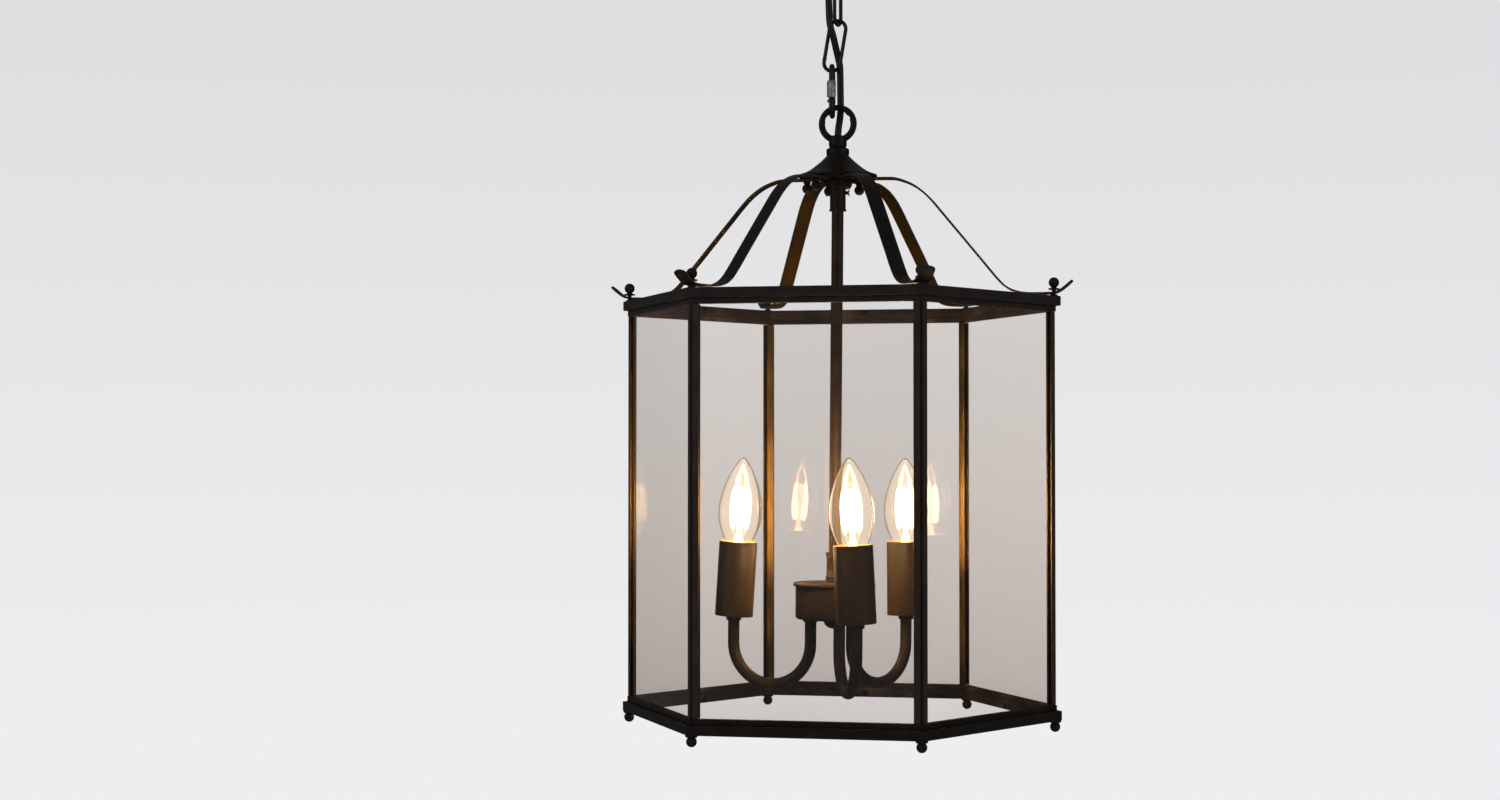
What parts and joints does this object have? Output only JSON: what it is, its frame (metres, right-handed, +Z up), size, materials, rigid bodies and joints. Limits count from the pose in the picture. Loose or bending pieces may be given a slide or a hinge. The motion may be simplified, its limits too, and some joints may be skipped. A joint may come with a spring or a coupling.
{
  "type": "hanging lantern",
  "caption": "Hexagonal glazed hanging lantern with an open top, curved straps to a bell cap, a candle cluster on a central rod, and a short chain with its cord.",
  "frame": {"origin": "centre of the ceiling plate's upper face", "axes": "+Z up, out of the ceiling plate's upper face; one pane faces -Y and two of the cage's corners lie on the X axis"},
  "size_m": [0.3696, 0.322, 0.647],
  "materials": {
    "aged_bronze": "dark patinated bronze, satin, browner inside",
    "dark_chain": "dark lacquered, satin",
    "worn_steel": "worn, dull",
    "black_flex": "smooth, slightly glossy",
    "sleeve_brown": "dark brown, satin, fine specks",
    "clear_glass": "clear, polished",
    "bulb_glass": "clear, polished, lit filaments",
    "holder_white": "moulded, matt"
  },
  "bodies": {
    "ceiling": {"hook_plate": "aged_bronze", "ceiling_rose": "aged_bronze", "rose_nut": "aged_bronze", "cord_grip": "black_flex", "terminal_block": "holder_white", "supply_cord": "black_flex"},
    "upper_link": {"chain_link_upper": "dark_chain"},
    "lower_link": {"chain_link_lower": "dark_chain"},
    "quick_link_body": {"quick_link": "dark_chain"},
    "quick_link_nut_body": {"quick_link_nut": "worn_steel"},
    "lantern": {"hang_loop": "aged_bronze", "bell_cap": "aged_bronze", "strap_hub": "aged_bronze", "rod_collar": "aged_bronze", "strap_1": "aged_bronze", "strap_2": "aged_bronze", "strap_3": "aged_bronze", "strap_4": "aged_bronze", "strap_5": "aged_bronze", "strap_6": "aged_bronze", "corner_finial_1": "aged_bronze", "corner_finial_2": "aged_bronze", "corner_finial_3": "aged_bronze", "corner_finial_4": "aged_bronze", "corner_finial_5": "aged_bronze", "corner_finial_6": "aged_bronze", "top_ring": "aged_bronze", "bottom_ring": "aged_bronze", "corner_post_1": "aged_bronze", "corner_post_2": "aged_bronze", "corner_post_3": "aged_bronze", "corner_post_4": "aged_bronze", "corner_post_5": "aged_bronze", "corner_post_6": "aged_bronze", "glass_pane_1": "clear_glass", "glass_pane_2": "clear_glass", "glass_pane_3": "clear_glass", "glass_pane_4": "clear_glass", "glass_pane_5": "clear_glass", "glass_pane_6": "clear_glass"},
    "right_screw": {"thumb_screw_right": "aged_bronze"},
    "left_screw": {"thumb_screw_left": "aged_bronze"},
    "rod": {"centre_rod": "aged_bronze", "inner_wiring": "black_flex"},
    "cluster": {"rod_coupling": "aged_bronze", "pan_lid": "aged_bronze", "pan_body": "aged_bronze", "pan_nut": "aged_bronze", "candle_arm_1": "aged_bronze", "candle_arm_2": "aged_bronze", "candle_arm_3": "aged_bronze", "lampholder_1": "holder_white", "lampholder_2": "holder_white", "lampholder_3": "holder_white", "candle_sleeve_1": "sleeve_brown", "candle_sleeve_2": "sleeve_brown", "candle_sleeve_3": "sleeve_brown"},
    "bulb_1_body": {"bulb_1": "bulb_glass"},
    "bulb_2_body": {"bulb_2": "bulb_glass"},
    "bulb_3_body": {"bulb_3": "bulb_glass"}
  },
  "joints": [
    {"name": "upper_link_swing", "type": "hinge", "parent": "ceiling", "child": "upper_link", "pos_m": [0, 0, -0.05621], "axis": [0.9755, -0.2198, 0], "range_deg": [-20, 20], "deforming": ["supply_cord"]},
    {"name": "lower_link_swing", "type": "hinge", "parent": "upper_link", "child": "lower_link", "pos_m": [0, 0, -0.09261], "axis": [0.2198, 0.9755, 0], "range_deg": [-20, 20], "deforming": ["supply_cord"]},
    {"name": "quick_link_swing", "type": "hinge", "parent": "lower_link", "child": "quick_link_body", "pos_m": [-0.00449, 0, -0.12913], "axis": [1, 0, 0], "range_deg": [-20, 20], "deforming": ["supply_cord"]},
    {"name": "lantern_swing", "type": "hinge", "parent": "quick_link_body", "child": "lantern", "pos_m": [-0.00449, 0, -0.16493], "axis": [-0.0802, 0.9968, 0], "range_deg": [-20, 20], "deforming": ["supply_cord"]},
    {"name": "quick_link_nut_travel", "type": "slide", "parent": "quick_link_body", "child": "quick_link_nut_body", "axis": [0, 0, 1], "range_m": [0, 0.0065]},
    {"name": "right_thumb_screw", "type": "hinge", "parent": "lantern", "child": "right_screw", "pos_m": [0.008, 0, -0.226], "axis": [1, 0, 0], "continuous": true},
    {"name": "left_thumb_screw", "type": "hinge", "parent": "lantern", "child": "left_screw", "pos_m": [-0.008, 0, -0.226], "axis": [-1, 0, 0], "continuous": true},
    {"name": "rod_height", "type": "slide", "parent": "lantern", "child": "rod", "axis": [0.0086, 0.0014, 1], "range_m": [-0.0015, 0.004]},
    {"name": "cluster_turn", "type": "hinge", "parent": "rod", "child": "cluster", "pos_m": [-0.00263, -0.00043, -0.53099], "axis": [0.0086, 0.0014, 1], "range_deg": [-90, 90]},
    {"name": "bulb_1_out", "type": "slide", "parent": "cluster", "child": "bulb_1_body", "axis": [-0.0455, -0.0056, 0.9989], "range_m": [0, 0.03]},
    {"name": "bulb_2_out", "type": "slide", "parent": "cluster", "child": "bulb_2_body", "axis": [-0.0054, 0.0014, 1], "range_m": [0, 0.03]},
    {"name": "bulb_3_out", "type": "slide", "parent": "cluster", "child": "bulb_3_body", "axis": [0.0644, -0.0056, 0.9979], "range_m": [0, 0.03]}
  ]
}
